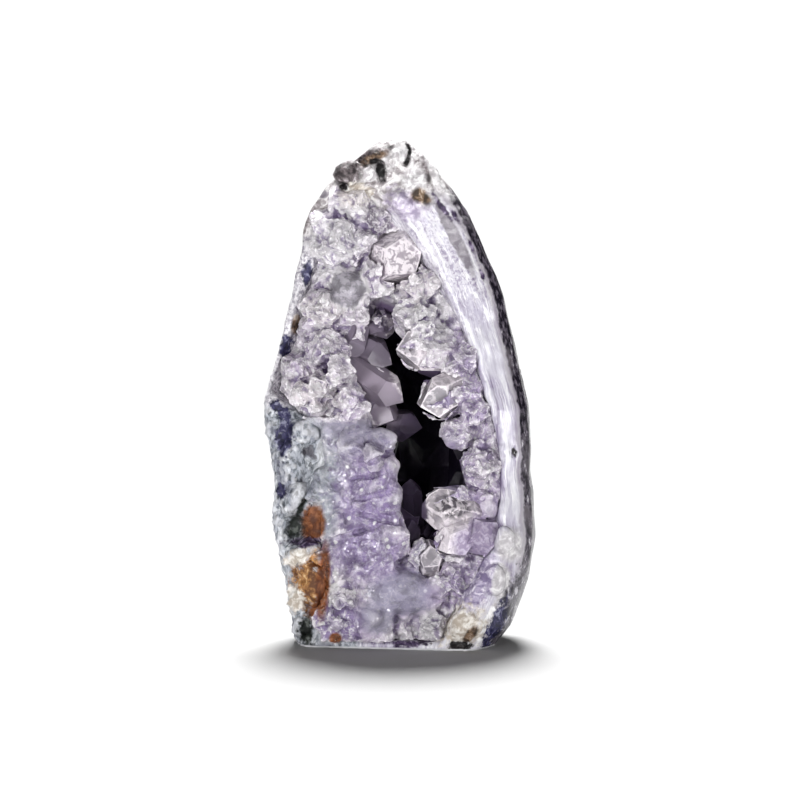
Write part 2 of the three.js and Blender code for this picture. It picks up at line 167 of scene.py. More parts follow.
# Meshes
def mergedCopy(node, name):
    mesh = frame["nodes"][node].data.copy()
    merged = bmesh.new()
    merged.from_mesh(mesh)
    bmesh.ops.remove_doubles(merged, verts=merged.verts, dist=1e-7)
    merged.to_mesh(mesh)
    merged.free()
    needed = ("position", "material_index", "sharp_face")
    for attribute in [each for each in mesh.attributes if not each.is_required and each.name not in needed]:
        mesh.attributes.remove(attribute)
    mesh.materials.clear()
    return addObject(name, mesh)


def addObject(name, data):
    made = bpy.data.objects.new(name, data)
    bpy.context.scene.collection.objects.link(made)
    return made


# Turns an object's modifiers into a plain mesh and takes them off
def settle(piece):
    bpy.context.view_layer.update()
    done = bpy.data.meshes.new_from_object(piece.evaluated_get(bpy.context.evaluated_depsgraph_get()))
    piece.modifiers.clear()
    old = piece.data
    piece.data = done
    bpy.data.meshes.remove(old)


# One field of all parts of a mesh, a row for each
def readField(parts, field, width=1, kind=np.float32):
    values = np.empty(len(parts) * width, dtype=kind)
    parts.foreach_get(field, values)
    return values.reshape(-1, width)


def vertexPlaces(mesh):
    return readField(mesh.vertices, "co", 3, np.float64)


def setAttribute(mesh, name, values):
    attribute = mesh.attributes.get(name) or mesh.attributes.new(name, "FLOAT", "POINT")
    attribute.data.foreach_set("value", np.asarray(values, dtype=np.float32))


# Smooths an object's mesh by a modifier, held back by a vertex group where one is named
def soften(piece, factor, turns, group=""):
    modifier = piece.modifiers.new("soften", "SMOOTH")
    modifier.factor = factor
    modifier.iterations = turns
    modifier.vertex_group = group
    settle(piece)


# Runs a node tree on an object, with values for its named inputs, and keeps the result as a plain mesh
def grow(piece, graph, values):
    modifier = piece.modifiers.new(graph.tree.name, "NODES")
    modifier.node_group = graph.tree
    for item in graph.tree.interface.items_tree:
        if item.item_type == "SOCKET" and item.in_out == "INPUT" and item.name in values:
            modifier[item.identifier] = values[item.name]
    settle(piece)


def newTree(name, inputs):
    tree = bpy.data.node_groups.new(name, "GeometryNodeTree")
    for label, kind in {"Geometry": "Geometry", **inputs}.items():
        tree.interface.new_socket(label, in_out="INPUT", socket_type=f"NodeSocket{kind}")
    tree.interface.new_socket("Geometry", in_out="OUTPUT", socket_type="NodeSocketGeometry")
    graph = Graph(tree)
    entry = tree.nodes.new("NodeGroupInput")
    return graph, {socket.name: Signal(graph, socket) for socket in entry.outputs if socket.name}


def finishTree(graph, geometry, material):
    real = graph.node("GeometryNodeRealizeInstances", {"Geometry": geometry})
    dressed = graph.node("GeometryNodeSetMaterial", {"Geometry": real, "Material": material})
    graph.node("NodeGroupOutput", {"Geometry": dressed})
    return graph


# Moves a surface out along its normals
def raised(graph, geometry, height):
    normal = graph.node("GeometryNodeInputNormal")
    return graph.node("GeometryNodeSetPosition", {"Geometry": geometry, "Offset": graph.scaled(normal, height)})


def children(graph, collection, **more):
    return graph.node("GeometryNodeCollectionInfo", {
        "Collection": collection, "Separate Children": True, **more,
    })


def boolean(graph, operation, solids):
    return graph.node("GeometryNodeMeshBoolean", solids, operation=operation, solver="MANIFOLD")


# A collection with one object for each mesh, for a tree to read
def collected(name, meshes):
    collection = bpy.data.collections.new(name)
    for mesh in meshes:
        collection.objects.link(bpy.data.objects.new(mesh.name, mesh))
    return collection


# 0 before low, 1 after high, straight between them; low may be above high
def ramp(values, low, high):
    return np.clip((values - low) / (high - low), 0, 1)


# Places on the front, in mm: x, z, half length, half width, turn of the length in degrees, softness
def patchMask(across, up, patches, wobble=0.0):
    total = None
    for x, z, halfLength, halfWidth, turn, soft in patches:
        cos, sin = math.cos(math.radians(turn)), math.sin(math.radians(turn))
        dx = across - x
        dz = up - z
        u = (dx * cos + dz * sin) / halfLength
        v = (dz * cos - dx * sin) / halfWidth
        distance = across.graph.maths("SQRT", u * u + v * v) + wobble
        mask = distance.step(1 + soft / 2, 1 - soft / 2)
        total = across.graph.larger(total, mask) if total else mask
    return total


# The agate shell: rind, banded agate and rocky matrix
stoneLook = {
    "voxel": 0.66 * mm,
    "smoothing": 2,
    "rind": (2.6, 1.9),  # mm of dark rind seen from the front, low on the right and near the top
    "roughness": (0.2, 0.5),  # where it is polished and where it is rocky
    # The folds take painted shade
    "foldTurns": 8,  # how broad the folds are that get darker
    "baseSnap": 0.35 * mm,
    "skin": {
        "Outset": 0.35 * mm,  # makes up for what the smoothing takes off
        "Skin lumps": 0.35 * mm,
        "Matrix lumps": 1.8 * mm,
        "Rind lumps": 1.3 * mm,  # dimples and humps of the uncut skin
        "Pits": 1.8 * mm,
        "Bank": 1.6 * mm,  # how far the matrix rises against the crystals
    },
}
# Patches of colour: their dark, middle and light parts, and their places
stonePatches = {
    "lilac": ([(0.3, 0.25, 0.36), (0.55, 0.49, 0.61), (0.84, 0.8, 0.86)], [(1.5, 109.5, 5, 3.2, -20, 0.9)]),
    "violet": ([(0.2, 0.16, 0.28), (0.4, 0.35, 0.48), (0.76, 0.72, 0.8)], [
        (18.6, 15.2, 9, 3.6, 60, 0.6), (21.4, 20.6, 3, 2.2, 60, 0.6)]),
    "silver": ([(0.2, 0.18, 0.21), (0.29, 0.27, 0.3), (0.4, 0.38, 0.41)], [
        (-19.1, 111.9, 1.1, 1.1, 0, 0.5), (13.4, 102, 10.8, 1.5, -62.7, 0.4)]),
    "pebble": ([(0.4, 0.38, 0.4), (0.56, 0.54, 0.56), (0.76, 0.75, 0.75)], [
        (27.2, 25.8, 3.5, 4.3, 0, 0.5), (25.1, 16.8, 2.4, 4.8, 0, 0.4)]),
    "ash": ([(0.03, 0.026, 0.036), (0.13, 0.12, 0.145), (0.48, 0.46, 0.5)], [(28, 11.4, 9, 3, 66, 0.6)]),
    "smoke": ([(0.035, 0.028, 0.03), (0.14, 0.115, 0.12), (0.44, 0.4, 0.42)], [
        (-13.2, 117, 3.8, 3.6, 0, 0.6), (-8.2, 120.8, 5, 1.9, 28, 0.7), (-2.9, 123.4, 1.8, 0.9, 0, 1),
        (-21.2, 104.8, 2.4, 1.1, 80, 0.6), (6.5, 117.8, 3.8, 0.7, -72, 1)]),
    "milk": ([(0.46, 0.43, 0.45), (0.8, 0.79, 0.8), (0.93, 0.92, 0.93)], [
        (3.4, 115.9, 3, 3, 0, 0.7), (-7.3, 117.2, 1.8, 2.3, 0, 0.3), (21.2, 6.2, 6, 1.1, 66, 0.5),
        (0, 122, 2.2, 2, 0, 0.9)]),
    "gold": ([(0.11, 0.04, 0.014), (0.36, 0.17, 0.055), (0.66, 0.46, 0.24)], [(-22.8, 16.6, 7.4, 4.2, 84, 0.5)]),
    "cream": ([(0.44, 0.38, 0.32), (0.76, 0.72, 0.67), (0.9, 0.88, 0.85)], [
        (-25.6, 22.6, 3.6, 1.9, 30, 0.7), (-26, 12, 2.2, 3.2, 0, 0.5), (15, 6, 6.4, 5, 20, 0.7),
        (-10.8, 112, 3.8, 2.8, 0, 0.6)]),
    "rust": ([(0.09, 0.028, 0.012), (0.2, 0.065, 0.022), (0.3, 0.12, 0.05)], [
        (-21.7, 30.6, 5, 3.1, 86, 0.5), (-19.1, 16.8, 9, 1.8, 86, 0.6), (-20.4, 9.4, 2.8, 2, 60, 0.6),
        (-16, 2.7, 1.6, 1.5, 0, 0.5)]),
    "umber": ([(0.045, 0.03, 0.022), (0.19, 0.12, 0.075), (0.46, 0.38, 0.31)], [
        (-6.4, 121, 3.4, 1.1, 25, 0.8), (4.6, 111.9, 1.9, 1.9, 0, 0.7), (6, 111, 2, 1.4, -30, 0.9),
        (-25.9, 79.4, 2.6, 1.3, 85, 0.5), (17.4, 4.2, 2.8, 1.2, 52, 0.5)]),
    "navy": ([(0.01, 0.01, 0.03), (0.04, 0.036, 0.1), (0.24, 0.24, 0.34)], [
        (-23.1, 92.3, 2.8, 1.3, 80, 0.6), (-28.5, 74, 3.8, 1.6, 85, 0.5), (-29.8, 58.4, 3.8, 1.5, -55, 0.5),
        (-28.8, 51.4, 4.8, 2.2, 80, 0.6), (-29.6, 38.5, 1.9, 1.3, 90, 0.5), (23.6, 6, 6.8, 1.7, 64, 0.5)]),
    "plum": ([(0.02, 0.012, 0.035), (0.08, 0.055, 0.11), (0.32, 0.27, 0.38)], [
        (10.4, 109, 3.4, 0.6, -52, 0.8), (13.6, 107, 1.8, 0.6, -60, 0.9), (17.6, 99.4, 1.6, 0.5, -65, 0.9),
        (20.4, 92, 1.6, 0.5, -70, 0.9), (-23.4, 26.2, 5.6, 0.9, 4, 0.6), (2, 1.5, 4.8, 0.9, 0, 0.6)]),
    # near black pits and cracks: painted shade in hollows that are also dug into the stone
    "pitShade": ([(0.004, 0.003, 0.004), (0.012, 0.01, 0.011), (0.07, 0.065, 0.065)], [
        (-4.8, 118, 2.9, 1.2, 98, 0.6), (-6.4, 120.3, 1.6, 0.7, 20, 0.8), (2, 123.8, 1, 0.4, -49, 0.9),
        (2.3, 122.2, 1.2, 0.45, 76, 0.9), (1.7, 120.3, 1.2, 0.6, 69, 0.9), (-14, 114.1, 1.2, 1, 30, 0.6),
        (28.2, 48.4, 1.2, 0.7, 90, 0.6), (15, 1.2, 3.2, 1.1, 0, 0.5)]),
    "moss": ([(0.004, 0.006, 0.005), (0.014, 0.018, 0.015), (0.09, 0.1, 0.09)], [
        (-26.2, 29.4, 3.4, 2.2, 80, 1.3), (-24.6, 34.6, 3.6, 0.8, 70, 1), (-23.6, 3.9, 3.2, 2, 84, 0.6)]),
}
# Those with smooth borders
evenPatches = ["silver", "pebble", "smoke", "milk", "rust", "umber"]


# Distance in mm, seen from the front, from the stone's outline
def outlineDistance(places):
    x, z = (places / mm).T[[0, 2]]
    line = []
    for level in np.arange(0.5, 125, 1.0):
        near = np.abs(z - level) < 0.8
        if near.any():
            line += [(x[near].min(), 0, level), (x[near].max(), 0, level)]
    tree = KDTree(len(line))
    for number, point in enumerate(line):
        tree.insert(point, number)
    tree.balance()
    return np.array([tree.find((across, 0, up))[2] for across, up in zip(x, z)])


def stoneSkinTree():
    graph, inputs = newTree("stone skin", {**dict.fromkeys(stoneLook["skin"], "Float"), "Stone": "Material"})
    place = graph.node("GeometryNodeInputPosition")
    across, deep, up = graph.millimetres(place)
    rocky = graph.stored("rocky")
    gap = graph.stored("bedGap")
    wide = graph.noise(place, 5 * mm, detail=2.0)
    fine = graph.noise(place, 1.8 * mm, detail=4.0, rough=0.6)
    grains = graph.cells(place, 1.7 * mm)
    smooth = (wide - 0.5) * inputs["Skin lumps"] * (1 - rocky)
    rough = (fine - 0.5) * 0.9 + (wide - 0.5) * 1.6 - (grains - 0.35) * 0.5
    dimples = graph.cells(place, 7 * mm).step(0.5, 0.1)
    skin = ((wide - 0.5) * 1.2 + (fine - 0.5) * 0.4 - dimples * 0.6) * deep.step(-3, 3) * up.step(1, 4)
    holes = stonePatches["pitShade"][1] + stonePatches["moss"][1]
    pits = patchMask(across, up, holes, (fine - 0.5) * 1.2) * deep.step(2, -3)
    bank = gap.step(3.6, 0.4) * across.step(-12, -15) * up.step(57, 52) * rocky
    height = inputs["Outset"] + smooth + rough * inputs["Matrix lumps"] * rocky + skin * inputs["Rind lumps"]
    height = height - pits * inputs["Pits"] * (rocky * 0.8 + 0.2) + bank * inputs["Bank"]
    return finishTree(graph, raised(graph, inputs["Geometry"], height), inputs["Stone"])


# Grey green to white sugar with dark pits, as low on the left of the stone and of the crystals beside it
def sugarColour(graph, place):
    across, deep, up = graph.millimetres(place)
    upright = graph.combined(across, deep, up * 0.6)
    broad = graph.noise(place, 7 * mm)
    middling = graph.noise(upright, 2.4, detail=4.0, distortion=0.5)
    fine = graph.noise(upright, 0.9, detail=4.0, rough=0.6)
    pitted = graph.cells(upright, 2.1) + (fine - 0.5) * 0.7
    sugar = graph.layers((0.13, 0.145, 0.165), [
        (fine.step(0.38, 0.6), (0.42, 0.44, 0.49)),
        (middling.step(0.46, 0.37) * 0.85, (0.72, 0.74, 0.78)),
        (broad.step(0.5, 0.64) * 0.6, (0.13, 0.13, 0.18)),
    ])
    return graph.mix(pitted.step(0.34, 0.14) * 0.85, sugar, (0.035, 0.04, 0.05))


def stoneMaterial():
    material, graph, place = newMaterial("banded agate and rind")
    across, deep, up = graph.millimetres(place)
    depth, gap, rocky, fold = graph.attributes("edgeDepth", "bedGap", "rocky", "fold")
    broad = graph.noise(place, 9 * mm)
    middling = graph.noise(place, 3 * mm, detail=4.0, distortion=0.4)
    fine = graph.noise(place, 0.8 * mm, detail=5.0, rough=0.65)
    wobble = (middling - 0.5) * 1.6 + (fine - 0.5) * 0.9
    front = deep.step(2, -3)
    share = depth / (depth + gap + 0.5)  # 0 at the outline, 1 at the crystals
    along = graph.combined(depth * 0.8 + share * 3, up * 0.07, deep * 0.1)
    streaks = graph.noise(along, 1.0, detail=6.0, rough=0.66, distortion=0.5)
    lines = graph.combined(depth * 1.8 + share * 4, up * 0.06, 4.0)
    hairs = graph.noise(lines, 1.0, rough=0.6, distortion=0.3)
    flecked = graph.combined(across, up * 0.4, deep)
    flecks = graph.noise(flecked, 1.1, detail=4.0, rough=0.65)

    # rind: violet black to grey brown, mottled, with pale specks, almost black high up
    rind = graph.layers((0.008, 0.006, 0.012), [
        (flecks.step(0.44, 0.58), (0.1, 0.085, 0.11)),
        (broad.step(0.5, 0.66) * 0.6, (0.17, 0.15, 0.17)),
        (flecks.step(0.58, 0.68) * up.step(96, 70), (0.42, 0.4, 0.44)),
        (flecks.step(0.66, 0.72) * up.step(118, 90), (0.75, 0.73, 0.76)),
    ])

    back = deep.step(-3, 4)
    basalt = graph.layers((0.035, 0.03, 0.036), [
        (middling.step(0.4, 0.62), (0.13, 0.115, 0.125)),
        (fine.step(0.52, 0.66) * 0.7, (0.24, 0.22, 0.23)),
        (broad.step(0.56, 0.7) * 0.5, (0.16, 0.17, 0.15)),
        # painted shade in the folds
        (fold.step(0.05, 0.35) * 0.8, (0.02, 0.016, 0.02)),
    ])
    rind = graph.mix(back * 0.75, rind, basalt)

    # agate: white to bluish lilac, streaked along the outline, with a violet line beside the crystals
    chipped = graph.combined(depth * 1.1 + share * 3, up * 0.28, deep * 0.1)
    chips = graph.noise(chipped, 1.0, detail=5.0, rough=0.7, distortion=0.6)
    chippy = up.step(66, 88) * 0.6 + 0.3
    beside = (gap + (middling - 0.5) * 1.2).step(1.1, 0.4) * up.step(80, 66)
    thick, thin = stoneLook["rind"]
    inward = depth + (middling - 0.5) * 1.4 - (thick - up.step(72, 108) * (thick - thin) - up.step(112, 116) * 1.1)
    agate = graph.layers((0.24, 0.2, 0.3), [
        (streaks.step(0.34, 0.5), (0.46, 0.43, 0.53)),
        (streaks.step(0.47, 0.62), (0.68, 0.67, 0.71)),
        (hairs.step(0.41, 0.34) * 0.75, (0.16, 0.12, 0.2)),
        (hairs.step(0.58, 0.66) * 0.8, (0.86, 0.85, 0.87)),
        (broad.step(0.52, 0.66) * 0.5, (0.38, 0.35, 0.46)),
        (chips.step(0.54, 0.62) * chippy, (0.3, 0.26, 0.36)),
        (chips.step(0.45, 0.38) * chippy, (0.88, 0.87, 0.88)),
        (up.step(80, 92) * fine.step(0.58, 0.46) * 0.5, (0.84, 0.83, 0.84)),
        (beside * 0.85, (0.1, 0.07, 0.15)),
        (broad.step(0.4, 0.6) * up.step(84, 76) * 0.3, (0.72, 0.73, 0.73)),
        (inward.step(1.9, 0.4) * 0.6, (0.27, 0.24, 0.27)),
    ])
    colour = graph.mix(inward.step(-0.25, 0.25) * front, rind, agate)

    # chalky top with brown hollows and cracks
    top = (up + wobble * 5 - across * 0.35).step(105, 112) * deep.step(3, -1)
    blots = graph.noise(place, 3.4 * mm, detail=5.0, rough=0.62, distortion=1.2)
    chalk = graph.layers((0.78, 0.76, 0.76), [
        (blots.step(0.4, 0.56), (0.3, 0.27, 0.28)),
        (blots.step(0.56, 0.64) * 0.8, (0.12, 0.1, 0.1)),
        (fine.step(0.43, 0.35) * 0.8, (0.9, 0.89, 0.89)),
    ])

    # frosted edge high on the left, grey green sugar low on the left, painted shade in the folds and a painted
    # highlight on the humps
    left = (across + wobble * 2).step(-8, -12) * front
    frost = graph.mix(fine.step(0.38, 0.6), (0.22, 0.2, 0.25), (0.72, 0.7, 0.73))
    colour = graph.layers(colour, [
        (top, chalk),
        (left * up.step(50, 62) * (1 - top), frost),
        (left * (up + wobble * 3).step(61, 57), sugarColour(graph, place)),
        (fold.step(0.1, 0.6) * rocky * 0.7, (0.06, 0.05, 0.06)),
        (fold.step(-0.1, -0.5) * rocky * 0.35, (0.86, 0.85, 0.87)),
    ])

    ragged = (graph.noise(place, 1.5 * mm, detail=4.0, rough=0.6) - 0.5) * 2.2 + wobble * 0.4
    grain = fine * 0.3 + graph.noise(place, 2 * mm, distortion=0.6) * 0.9
    for name, ((dark, middle, light), patches) in stonePatches.items():
        border = ragged * 0.3 if name in evenPatches else ragged
        shade = graph.layers(dark, [(grain.step(0.5, 0.66), middle), (grain.step(0.64, 0.76), light)])
        colour = graph.mix(patchMask(across, up, patches, border) * front, colour, shade)

    # thin pale edge along the cut base
    colour = graph.mix(up.step(0.5, 0.3) * front, colour, (0.62, 0.62, 0.64))

    polished, dull = stoneLook["roughness"]
    roughness = graph.larger(rocky, back) * (dull - polished) + polished + (fine - 0.5) * 0.14
    bump = graph.bump(0.6, 0.35 * mm, fine * (rocky + 0.15) + middling * rocky * 0.8)
    surface = graph.node("ShaderNodeBsdfPrincipled", {
        "Base Color": colour, "Roughness": roughness, "Normal": bump, "IOR": 1.54, "Specular IOR Level": 0.25,
    })
    graph.node("ShaderNodeOutputMaterial", {"Surface": surface})
    return material


def buildStone():
    piece = mergedCopy("agate_shell", "geode_stone")
    remesh = piece.modifiers.new("even mesh", "REMESH")
    remesh.mode = "VOXEL"
    remesh.voxel_size = stoneLook["voxel"]
    soften(piece, 0.5, stoneLook["smoothing"])
    mesh = piece.data
    places = vertexPlaces(mesh)
    x, y, z = (places / mm).T
    inFront = ramp(y, -3, -6)
    lowLeft = ramp(z, 62, 59) * ramp(x, -13, -16)
    highLeft = ramp(z, 58, 62) * ramp(x, -9, -13)
    crown = ramp(z + x * 0.3, 106, 112)
    lowRight = ramp(z, 25, 22) * ramp(x, 3, 5) * ramp(x - z * 0.2, 19.5, 17.5)
    rocky = np.maximum.reduce([lowLeft, highLeft, crown, lowRight]) * inFront * ramp(z, 0.4, 1.9)
    setAttribute(mesh, "edgeDepth", outlineDistance(places) * inFront)
    setAttribute(mesh, "bedGap", crystalDistance(places, inFront))
    setAttribute(mesh, "rocky", rocky)
    grow(piece, stoneSkinTree(), {**stoneLook["skin"], "Stone": stoneMaterial()})
    flattenBase(piece.data)
    markFolds(piece.data, stoneLook["foldTurns"])
    piece.data.shade_smooth()
    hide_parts("agate_shell")
    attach(piece, "root")
    print("stone:", len(piece.data.polygons), "faces")


# Distance in mm from the crystals, where the stone faces the viewer
def crystalDistance(places, inFront):
    crust = frame["nodes"]["crystal_crust"].data
    corners = [corner.co for corner in crust.vertices]
    tree = BVHTree.FromPolygons(corners, [list(face.vertices) for face in crust.polygons])
    gaps = np.full(len(places), 30.0)
    for number in np.nonzero(inFront > 0)[0]:
        gaps[number] = tree.find_nearest(places[number])[3] / mm
    return gaps


# Stores how deep each corner lies in a fold, in mm, against the surface smoothed some turns; less than 0 on humps
def markFolds(mesh, turns):
    places = vertexPlaces(mesh) / mm
    ends = readField(mesh.edges, "vertices", 2, np.int32)
    a, b = ends.T
    count = len(places)
    neighbours = np.maximum(np.bincount(ends.ravel(), minlength=count), 1)
    smooth = places.copy()
    for _ in range(turns):
        total = [np.bincount(a, smooth[b, axis], count) + np.bincount(b, smooth[a, axis], count) for axis in range(3)]
        smooth = np.stack(total, axis=1) / neighbours[:, None]
    normals = readField(mesh.vertices, "normal", 3)
    setAttribute(mesh, "fold", ((smooth - places) * normals).sum(axis=1))


# The cut base stays level and on the floor
def flattenBase(mesh):
    places = vertexPlaces(mesh)
    places[places[:, 2] < stoneLook["baseSnap"], 2] = 0
    mesh.vertices.foreach_set("co", places.reshape(-1))
    mesh.update()


# Depth in mm behind the sawn face of the front
def behindCut(across, deep, up):
    return deep + 18.5 + across * 0.18 - up * 0.115


# The hollow: height, middle and half width in mm
hollowShape = [
    (22, 6, 2.5), (28, 6, 7.5), (38, 6.2, 10.5), (47, 6.5, 12), (57, 4, 13), (66, -0.5, 13.5), (76, -3.5, 10.5),
    (84, -4, 7), (91, -4.5, 2.5),
]


# Stores how far a corner is inside the hollow: "inner" 1 on its walls, "gloom" 1 where no light reaches
def markHollow(mesh):
    x, y, z = (vertexPlaces(mesh) / mm).T
    heights, middles, halfWidths = zip(*hollowShape)
    middle = np.interp(z, heights, middles)
    halfWidth = np.interp(z, heights, halfWidths, left=0.1, right=0.1)
    side = (x - middle) / halfWidth
    within = ramp(np.abs(side), 1.5, 1.1) * ramp(z, 20, 24) * ramp(z, 95, 91)
    depth = behindCut(x, y, z)
    onLeft = np.clip(-side * 1.5, 0, 1) * ramp(z, 52, 58) * ramp(z, 84, 76)  # lit by the opening
    setAttribute(mesh, "inner", within * ramp(depth, 4, 7))
    setAttribute(mesh, "gloom", within * ramp(depth, 8 + 5 * onLeft, 12 + 9 * onLeft))


quartz = {"tipTilt": 51.8, "index": 1.544}  # degrees between the axis and a tip face's normal; refractive index


# A quartz crystal, 1 unit wide and pointing along +Z, as the solid behind six sides and six tip faces
def crystalMesh(name, draw, length, uneven, foot):
    tipTilt = math.radians(quartz["tipTilt"])
    planes = []
    for k in range(6):
        angle = k * math.pi / 3
        side = Vector((math.cos(angle), math.sin(angle), 0))
        tip = Vector((side.x * math.sin(tipTilt), side.y * math.sin(tipTilt), math.cos(tipTilt)))
        planes.append((side, 0.5 * draw.uniform(0.84, 1.08)))
        planes.append((tip, length * math.cos(tipTilt) + (k % 2) * uneven * draw.uniform(0.6, 1.4)))
    planes.append((Vector((0, 0, -1)), foot))
    solid = bmesh.new()
    for (a, da), (b, db), (c, dc) in combinations(planes, 3):
        volume = a.dot(b.cross(c))
        if abs(volume) < 1e-6:
            continue
        corner = (b.cross(c) * da + c.cross(a) * db + a.cross(b) * dc) / volume
        if all(normal.dot(corner) < reach + 1e-5 for normal, reach in planes):
            solid.verts.new(corner)
    bmesh.ops.remove_doubles(solid, verts=solid.verts, dist=1e-3)
    hull = bmesh.ops.convex_hull(solid, input=solid.verts)
    spare = [part for part in hull["geom_interior"] if isinstance(part, bmesh.types.BMVert)]
    bmesh.ops.delete(solid, geom=spare, context="VERTS")
    bmesh.ops.dissolve_limit(solid, angle_limit=0.01, verts=solid.verts, edges=solid.edges)
    bmesh.ops.recalc_face_normals(solid, faces=solid.faces)
    mesh = bpy.data.meshes.new(name)
    solid.to_mesh(mesh)
    solid.free()
    return mesh


def discard(collection):
    for each in list(collection.objects):
        bpy.data.objects.remove(each)
    bpy.data.collections.remove(collection)


# How sharp or hollow the surface is at a corner: 1 ridge, -1 crevice, 0 flat
def sharpness(corner):
    bends = [edge.calc_face_angle_signed(0.0) for edge in corner.link_edges]
    return max(-1.0, min(1.0, sum(bends) / max(len(bends), 1) * 2))


# Ends a material as a mixture of clear and cloudy quartz with a tinted inside
def finishQuartz(graph, look, colour, bump, roughness, milky):
    clear, cloudy = [graph.node("ShaderNodeBsdfPrincipled", {
        "Base Color": colour, "Roughness": rough, "Normal": bump, "IOR": quartz["index"], "Transmission Weight": share,
    }) for rough, share in zip(roughness, (1.0, 0.0))]
    surface = graph.node("ShaderNodeMixShader", {0: milky, 1: clear, 2: cloudy})
    absorb = graph.node("ShaderNodeVolumeAbsorption", {
        "Color": (*look["absorbColour"], 1), "Density": look["absorbDensity"],
    })
    graph.node("ShaderNodeOutputMaterial", {"Surface": surface, "Volume": absorb})


# The clear points: root and tip in mm, width in mm, and how much longer every other tip face is
pointLook = {
    "seed": 5,
    "socketGrowth": 1.07,  # the hole for a point in the bed is this much wider
    "rimWidth": 0.9 * mm,
    "clear": (0.72, 0.66, 0.7),
    "frost": (0.88, 0.82, 0.86),
    # darker colour of the crystals inside the hollow: partly deeper amethyst, partly painted shade
    "inner": (0.18, 0.15, 0.2),
    "absorbColour": (0.7, 0.62, 0.8),
    "absorbDensity": 45.0,
    "points": [
        ((12.6, -5, 73), (-1.0, -12.4, 74), 9, 0.16),
        ((14, -8.4, 63.4), (5, -16, 60), 10.4, 0.2),
        ((18.8, -11.4, 32.6), (5.4, -20, 36.2), 10.4, 0.14),
        ((15.4, -13, 31.4), (11.6, -22.4, 24.4), 8.8, 0.2),
        ((21, -13.6, 28), (19.4, -23, 27.8), 9, 0.24),
        ((-0.5, 0, 98), (-2.4, -13, 92.6), 13, 0.2),
        ((-9, 0, 84), (-12.5, -6, 71), 6.5, 0.1),
        ((-5, 1, 80), (-4.2, -7, 78), 6.4, 0.1),
        ((-12, 0, 74), (-2, -4.5, 69.5), 9, 0.1),
        ((-14, -2, 70), (0.8, -9, 60.5), 8, 0.14),
        ((-8, 0, 60), (-1.6, -8.5, 56), 8, 0.14),
        ((-2, 0, 54), (5.6, -3, 53.5), 7, 0.12),
        ((3.6, -2, 27), (2.6, -6, 41), 5.4, 0.1),
        ((0.5, -6, 22), (3, -12, 31.5), 5.5, 0.12),
        ((7, -9.6, 19), (7.6, -18.4, 25.8), 6.8, 0.14),
    ],
}


pointPatches = {
    "window": [(12.8, 35.6, 4, 2.5, -8, 0.6), (1.8, 73.9, 1.8, 0.8, 30, 0.6), (-5.8, 96.4, 1.6, 1.4, 0, 0.6),
               (3.6, 95.6, 1.4, 1, -30, 0.6)],
    "grey": [(2.4, 73.4, 4.2, 3.6, 0, 0.6), (10.2, 62.4, 4.4, 2.8, 0, 0.4), (6.6, 23, 5, 5, 0, 0.6)],
    "granular": [(9, 73, 5, 6, 0, 0.8), (11.4, 27, 3, 5, 0, 0.8), (-1, 94, 9, 9, 0, 0.6)],
    "violet": [(20.5, 27.6, 5, 6, 0, 0.4), (16, 26, 3, 5, 0, 0.8)],
    "within": [(-9, 70, 7.4, 16, 0, 0.25), (-3.6, 59.6, 5.2, 5.6, 0, 0.25), (4, 53.6, 5, 5, 0, 0.3),
               (3, 34, 4, 9, 0, 0.3), (2, 27, 3, 5, 0, 0.3)],
    "mauve": [(-6, 65, 9, 4.4, -33, 0.5), (-3.6, 57, 5, 3.4, 0, 0.6)],
    # dark: painted shade, deep and high in the hollow
    "dark": [(4, 53.6, 5, 5, 0, 0.8), (3, 34, 4, 9, 0, 0.8), (-3.4, 82.4, 4.6, 4.2, 0, 0.6), (0.6, 78, 2, 4.4, 0, 0.6)],
}


def pointSet(growth):
    draw = random.Random(pointLook["seed"])
    meshes = []
    for number, (root, tip, width, uneven) in enumerate(pointLook["points"]):
        along = (Vector(tip) - Vector(root)) * mm
        mesh = crystalMesh(f"point {number}", draw, along.length / (width * mm) + (growth - 1) * 0.5, uneven, 0.0)
        turn = along.to_track_quat("Z", "Y").to_matrix().to_4x4() @ Matrix.Rotation(draw.uniform(0, 1), 4, "Z")
        mesh.transform(Matrix.Translation(Vector(root) * mm) @ turn @ Matrix.Scale(width * growth * mm, 4))
        meshes.append(mesh)
    return collected("clear points", meshes)


def pointsTree():
    graph, inputs = newTree("clear points", {"Points": "Collection", "Quartz": "Material"})
    joined = boolean(graph, "UNION", {"Mesh 2": children(graph, inputs["Points"])})
    return finishTree(graph, joined, inputs["Quartz"])


# Gives every facet a narrow border, and stores how sharp each corner is
def markFacets(mesh):
    solid = bmesh.new()
    solid.from_mesh(mesh)
    bmesh.ops.dissolve_limit(solid, angle_limit=math.radians(0.6), verts=solid.verts, edges=solid.edges)
    solid.normal_update()
    layer = solid.verts.layers.float.new("rim")
    for corner in solid.verts:
        corner[layer] = sharpness(corner)
    outer = len(solid.verts)
    widths = {}
    for face in solid.faces:
        edges = [edge.calc_length() for edge in face.edges]
        narrow = 2 * face.calc_area() / sum(edges)
        width = min(pointLook["rimWidth"], 0.35 * narrow, 0.7 * min(edges))
        if width > 0.04 * mm and all(loop.is_convex for loop in face.loops):
            widths.setdefault(max(round(width / (0.05 * mm)), 1), []).append(face)
    for width, faces in widths.items():
        bmesh.ops.inset_individual(solid, faces=faces, thickness=width * 0.05 * mm, use_even_offset=True)
    solid.verts.ensure_lookup_table()
    for corner in solid.verts[outer:]:
        corner[layer] = 0.0
    solid.to_mesh(mesh)
    solid.free()


